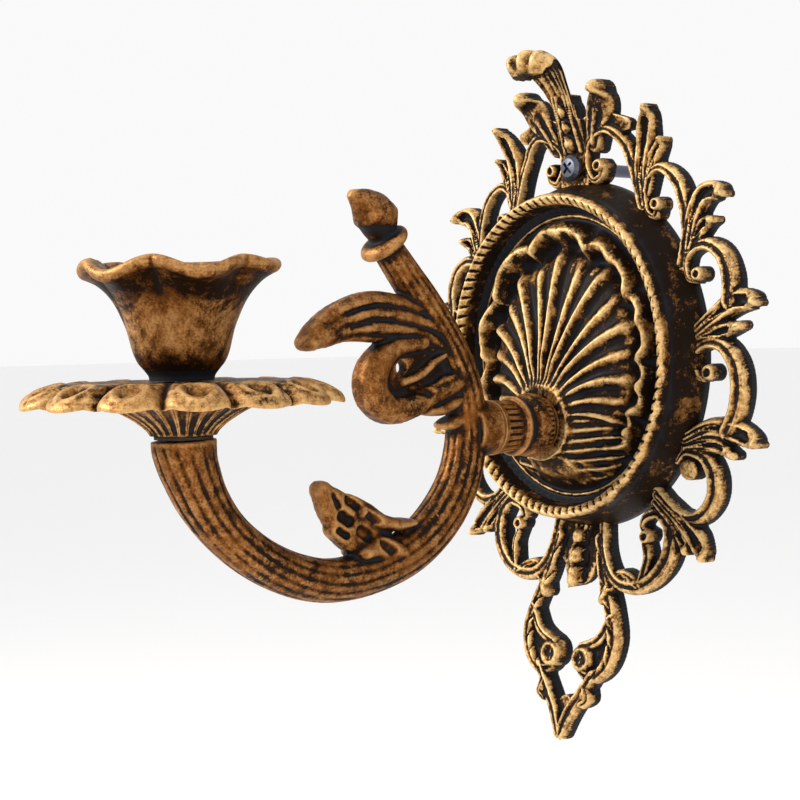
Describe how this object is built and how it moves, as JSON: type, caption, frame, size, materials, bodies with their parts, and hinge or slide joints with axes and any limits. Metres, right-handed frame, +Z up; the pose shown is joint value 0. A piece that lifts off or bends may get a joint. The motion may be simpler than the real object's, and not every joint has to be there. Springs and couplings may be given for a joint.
{
  "type": "wall sconce candle holder",
  "caption": "Cast wall sconce: a pierced oval wall plate with a shell, a scrolled arm, a petalled drip pan and a flower-shaped cup for a candle.",
  "frame": {"origin": "centre of the fixing-screw hole, in the plane of the wall", "axes": "+Z up, +Y into the wall, +X to the right as seen by someone facing the wall; the sconce stands out along -Y"},
  "size_m": [0.1446, 0.2167, 0.2188],
  "materials": {
    "antique_gold": "black base coat with gold rubbed on the raised parts, satin",
    "antique_bronze": "black base coat with bronze-gold rubbed on the raised parts, satin",
    "zinc_steel": "bright zinc plating",
    "black_steel": "blackened steel, worn bright on the head",
    "black_fibre": "matt black fibre"
  },
  "bodies": {
    "mounted_frame": {"wall_plate": "antique_gold", "arm": "antique_bronze", "arm_collar": "antique_bronze", "arm_bolt": "zinc_steel", "arm_washer": "zinc_steel", "arm_spring_washer": "zinc_steel", "wall_screw": "black_steel", "cup_screw": "zinc_steel"},
    "cup_and_pan": {"drip_pan": "antique_bronze", "candle_cup": "antique_bronze", "cup_washer": "zinc_steel", "pan_washer": "black_fibre"}
  },
  "joints": [
    {"name": "cup_swivel", "type": "hinge", "parent": "mounted_frame", "child": "cup_and_pan", "pos_m": [0, -0.1515, -0.0783], "axis": [0, 0, 1], "continuous": true}
  ]
}
